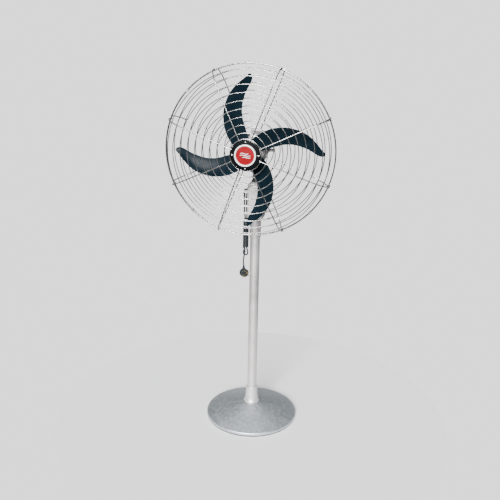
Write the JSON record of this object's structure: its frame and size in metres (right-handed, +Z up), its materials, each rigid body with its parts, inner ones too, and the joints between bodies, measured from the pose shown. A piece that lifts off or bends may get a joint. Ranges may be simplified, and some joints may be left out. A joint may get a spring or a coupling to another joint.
{
  "type": "pedestal fan",
  "caption": "Pedestal fan with a round weighted base, telescopic pole, tilting caged head and dark sickle-shaped blades.",
  "frame": {"origin": "centre of the base underside, on the pole axis, where the rubber ring meets the floor", "axes": "+Z up the pole; -Y the way the fan faces and blows; +X to the right seen from the front"},
  "size_m": [0.6784, 0.495, 1.6092],
  "materials": {
    "base_paint": "silver-grey enamel, satin",
    "rubber": "matt",
    "silver_paint": "silver paint, satin",
    "cast_silver": "silver-painted casting, satin",
    "dark_paint": "dark grey paint",
    "zinc": "zinc plated",
    "black_plastic": "moulded black",
    "nylon": "natural nylon",
    "cord_black": "black flexible PVC",
    "brass": "bright",
    "lamination": "stacked laminations",
    "copper": "enamelled copper wire",
    "guard_chrome": "bright chrome plate",
    "plate_black": "semi-gloss black",
    "badge_white": "gloss",
    "badge_red": "gloss",
    "blade_dark": "very dark blue-black enamel"
  },
  "bodies": {
    "stand": {"base_shell": "base_paint", "base_foot_ring": "rubber", "socket_bolts": "zinc", "pole_socket": "cast_silver", "socket_setscrew": "zinc", "outer_tube": "silver_paint", "height_collar": "silver_paint", "collar_screw": "zinc", "collar_bush": "nylon"},
    "lock_clamp": {"height_lock_knob": "black_plastic", "height_lock_screw": "zinc"},
    "mast": {"inner_tube": "silver_paint"},
    "swivel": {"neck_housing": "cast_silver", "housing_cover": "cast_silver", "cover_screws": "zinc", "swivel_screw": "zinc", "regulator_switch": "black_plastic", "tilt_fork": "dark_paint", "tilt_washers": "zinc", "tilt_bolt": "zinc", "cord_gland": "black_plastic", "power_lead": "cord_black", "cord_loop": "cord_black", "cord_hank": "cord_black", "cord_eye": "cord_black", "cord_tail": "cord_black", "plug_body": "cord_black", "plug_pins": "brass"},
    "speed_dial": {"regulator_knob": "black_plastic"},
    "tilt_clamp": {"tilt_knob": "black_plastic"},
    "head": {"tilt_lug": "cast_silver", "motor_shell": "cast_silver", "front_end_shield": "cast_silver", "rear_end_shield": "cast_silver", "motor_bearings": "zinc", "stator_core": "lamination", "stator_windings": "copper", "motor_screws": "zinc", "guard_mount_plate": "zinc", "rear_guard_rings": "guard_chrome", "rear_guard_spokes": "guard_chrome", "rear_rim": "guard_chrome", "front_guard_rings": "guard_chrome", "front_guard_spokes": "guard_chrome", "front_rim": "guard_chrome", "guard_clips": "zinc", "centre_plate": "plate_black", "plate_clamp_ring": "zinc", "plate_screws": "zinc", "badge_ring": "badge_white", "badge_disc": "badge_red"},
    "rotor": {"rotor_core": "lamination", "motor_shaft": "zinc", "blade_1": "blade_dark", "blade_2": "blade_dark", "blade_3": "blade_dark", "blade_4": "blade_dark", "blade_hub": "blade_dark", "hub_nut": "zinc", "blade_rivets": "zinc"}
  },
  "joints": [
    {"name": "height_slide", "type": "slide", "parent": "stand", "child": "mast", "axis": [0, 0, 1], "range_m": [0, 0.3]},
    {"name": "height_lock_turn", "type": "hinge", "parent": "stand", "child": "lock_clamp", "pos_m": [0, 0.04, 0.905], "axis": [0, 1, 0], "range_deg": [0, 360]},
    {"name": "head_turn", "type": "hinge", "parent": "mast", "child": "swivel", "pos_m": [0, 0, 1], "axis": [0, 0, 1], "range_deg": [-35, 60]},
    {"name": "speed_dial_turn", "type": "hinge", "parent": "swivel", "child": "speed_dial", "pos_m": [0, 0.07, 1.04], "axis": [0, 1, 0], "range_deg": [0, 270]},
    {"name": "head_tilt", "type": "hinge", "parent": "swivel", "child": "head", "pos_m": [0, 0, 1.16], "axis": [-1, 0, 0], "range_deg": [-18, 40]},
    {"name": "tilt_knob_turn", "type": "hinge", "parent": "swivel", "child": "tilt_clamp", "pos_m": [0.03, 0, 1.16], "axis": [1, 0, 0], "range_deg": [0, 360]},
    {"name": "blade_spin", "type": "hinge", "parent": "head", "child": "rotor", "pos_m": [0, -0.19, 1.27], "axis": [0, -1, 0], "continuous": true}
  ]
}
